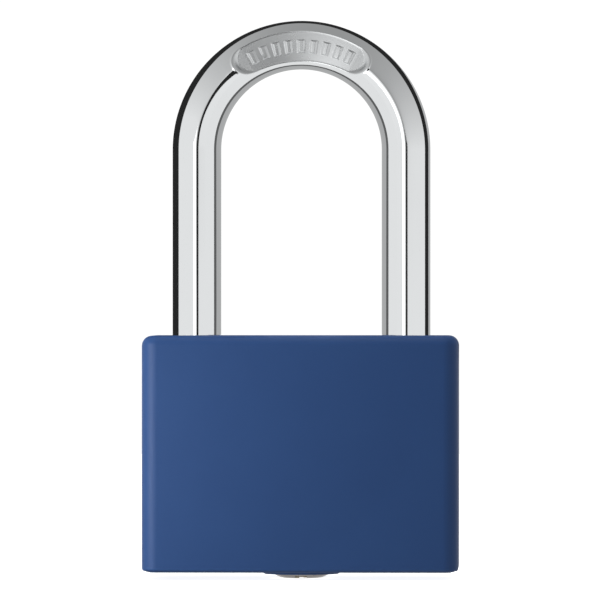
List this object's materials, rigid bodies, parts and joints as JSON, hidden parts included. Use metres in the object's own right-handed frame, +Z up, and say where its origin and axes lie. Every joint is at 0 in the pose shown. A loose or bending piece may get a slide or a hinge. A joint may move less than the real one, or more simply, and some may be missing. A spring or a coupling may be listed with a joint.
{
  "type": "padlock",
  "caption": "Covered padlock with a round plated shackle, two locking balls turned out by a cam, and a pin-tumbler cylinder that opens downwards.",
  "frame": {"origin": "under the middle of the lock, level with the tip of the plug, which is the lowest point", "axes": "+Z up along the shackle's legs, +X towards the toe leg, -Y towards the front face"},
  "size_m": [0.04, 0.018, 0.0708],
  "materials": {
    "moulding": "satin moulded thermoplastic",
    "chrome_plate": "polished",
    "aluminium": "machined",
    "brass": "machined",
    "nickel_plate": "satin nickel",
    "plain_steel": "machined steel",
    "spring_steel": "drawn wire and strip"
  },
  "bodies": {
    "case": {"cover": "moulding", "bottom_cap": "moulding", "lock_body": "aluminium", "cylinder_housing": "brass", "cross_pin": "plain_steel", "heel_bore_plug": "aluminium", "channel_plug": "aluminium", "shackle_spring": "spring_steel", "pin_spring_1": "spring_steel", "pin_spring_2": "spring_steel", "pin_spring_3": "spring_steel", "pin_spring_4": "spring_steel", "pin_spring_5": "spring_steel", "chamber_plug_1": "brass", "chamber_plug_2": "brass", "chamber_plug_3": "brass", "chamber_plug_4": "brass", "chamber_plug_5": "brass"},
    "shackle": {"shackle": "chrome_plate", "heel_ring": "spring_steel"},
    "plug": {"cylinder_plug": "nickel_plate", "lock_cam": "plain_steel", "plug_clip": "spring_steel"},
    "toe_ball": {"toe_ball": "chrome_plate"},
    "heel_ball": {"heel_ball": "chrome_plate"},
    "key_pin_1": {"key_pin_1": "brass"},
    "driver_pin_1": {"driver_pin_1": "brass"},
    "key_pin_2": {"key_pin_2": "brass"},
    "driver_pin_2": {"driver_pin_2": "brass"},
    "key_pin_3": {"key_pin_3": "brass"},
    "driver_pin_3": {"driver_pin_3": "brass"},
    "key_pin_4": {"key_pin_4": "brass"},
    "driver_pin_4": {"driver_pin_4": "brass"},
    "key_pin_5": {"key_pin_5": "brass"},
    "driver_pin_5": {"driver_pin_5": "brass"}
  },
  "joints": [
    {"name": "plug_turn", "type": "hinge", "parent": "case", "child": "plug", "pos_m": [0, 0, 0.0025], "axis": [0, 0, 1], "range_deg": [-90, 0]},
    {"name": "toe_ball_slide", "type": "slide", "parent": "case", "child": "toe_ball", "axis": [1, 0, 0], "range_m": [0, 0.00166]},
    {"name": "heel_ball_slide", "type": "slide", "parent": "case", "child": "heel_ball", "axis": [-1, 0, 0], "range_m": [0, 0.00166]},
    {"name": "shackle_lift", "type": "slide", "parent": "case", "child": "shackle", "axis": [0, 0, 1], "range_m": [0, 0.01055], "deforming": ["shackle_spring"]},
    {"name": "driver_pin_1_slide", "type": "slide", "parent": "case", "child": "driver_pin_1", "axis": [1, 0, 0], "range_m": [0, 0.0015], "deforming": ["pin_spring_1"]},
    {"name": "driver_pin_2_slide", "type": "slide", "parent": "case", "child": "driver_pin_2", "axis": [1, 0, 0], "range_m": [0, 0.0015], "deforming": ["pin_spring_2"]},
    {"name": "driver_pin_3_slide", "type": "slide", "parent": "case", "child": "driver_pin_3", "axis": [1, 0, 0], "range_m": [0, 0.0015], "deforming": ["pin_spring_3"]},
    {"name": "driver_pin_4_slide", "type": "slide", "parent": "case", "child": "driver_pin_4", "axis": [1, 0, 0], "range_m": [0, 0.0015], "deforming": ["pin_spring_4"]},
    {"name": "driver_pin_5_slide", "type": "slide", "parent": "case", "child": "driver_pin_5", "axis": [1, 0, 0], "range_m": [0, 0.0015], "deforming": ["pin_spring_5"]},
    {"name": "key_pin_1_slide", "type": "slide", "parent": "plug", "child": "key_pin_1", "axis": [0, 1, 0], "range_m": [-0.00155, 0]},
    {"name": "key_pin_2_slide", "type": "slide", "parent": "plug", "child": "key_pin_2", "axis": [0, 1, 0], "range_m": [-0.00085, 0]},
    {"name": "key_pin_3_slide", "type": "slide", "parent": "plug", "child": "key_pin_3", "axis": [0, 1, 0], "range_m": [-0.00125, 0]},
    {"name": "key_pin_4_slide", "type": "slide", "parent": "plug", "child": "key_pin_4", "axis": [0, 1, 0], "range_m": [-0.00055, 0]},
    {"name": "key_pin_5_slide", "type": "slide", "parent": "plug", "child": "key_pin_5", "axis": [0, 1, 0], "range_m": [-0.00115, 0]}
  ],
  "couplings": [
    {"joint": "toe_ball_slide", "follows": "plug_turn", "m_per_rad": -0.0010504},
    {"joint": "heel_ball_slide", "follows": "plug_turn", "m_per_rad": -0.0010504}
  ]
}
